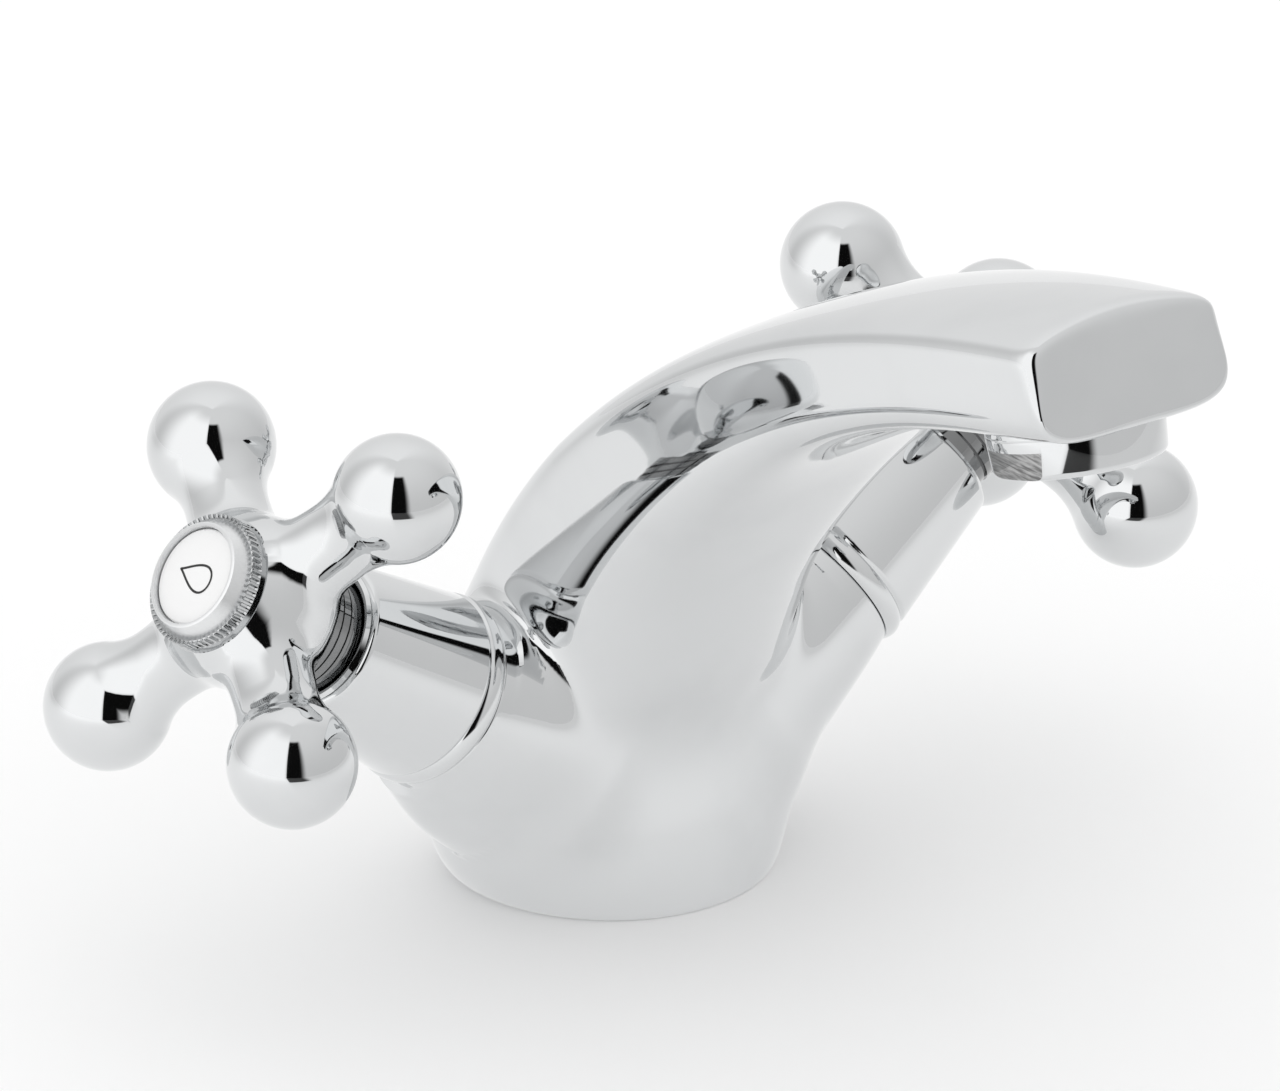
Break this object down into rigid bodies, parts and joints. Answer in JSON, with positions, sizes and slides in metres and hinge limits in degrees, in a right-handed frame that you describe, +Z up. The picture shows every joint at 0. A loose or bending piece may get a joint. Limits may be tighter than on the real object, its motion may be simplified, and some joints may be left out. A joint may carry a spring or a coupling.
{
  "type": "monobloc basin mixer",
  "caption": "Monobloc basin mixer with an arched spout, slanting valve sockets and cross handles that end in balls.",
  "frame": {"origin": "centre of the round base, on the plane of its foot", "axes": "+Z up, -Y along the spout, +X to the user's right as they face the tap"},
  "size_m": [0.183, 0.1478, 0.125],
  "materials": {
    "chrome": "polished",
    "brass": "turned",
    "steel": "plain",
    "rubber": "matt",
    "fibre": "pressed fibre",
    "ceramic": "lapped",
    "plastic": "moulded",
    "enamel": "gloss"
  },
  "bodies": {
    "root": {"body": "chrome", "base_seal": "rubber", "aerator_housing": "chrome", "aerator_washer": "rubber", "aerator_insert": "plastic", "aerator_screen": "steel", "left_shroud": "chrome", "left_flange_washer": "fibre", "left_headwork": "brass", "left_seat_seal": "rubber", "left_fixed_disc": "ceramic", "right_shroud": "chrome", "right_flange_washer": "fibre", "right_headwork": "brass", "right_seat_seal": "rubber", "right_fixed_disc": "ceramic"},
    "left_valve": {"left_handle": "chrome", "left_handle_screw": "steel", "left_index_ring": "chrome", "left_index_disc": "enamel", "left_spindle": "brass", "left_spindle_ring": "rubber", "left_circlip": "steel", "left_moving_disc": "ceramic"},
    "right_valve": {"right_handle": "chrome", "right_handle_screw": "steel", "right_index_ring": "chrome", "right_index_disc": "enamel", "right_spindle": "brass", "right_spindle_ring": "rubber", "right_circlip": "steel", "right_moving_disc": "ceramic"}
  },
  "joints": [
    {"name": "left_valve_turn", "type": "hinge", "parent": "root", "child": "left_valve", "pos_m": [-0.06898, -0.0034, 0.05973], "axis": [-0.8251, 0, 0.565], "range_deg": [-90, 0]},
    {"name": "right_valve_turn", "type": "hinge", "parent": "root", "child": "right_valve", "pos_m": [0.06898, -0.0034, 0.05973], "axis": [0.8251, 0, 0.565], "range_deg": [0, 90]}
  ]
}
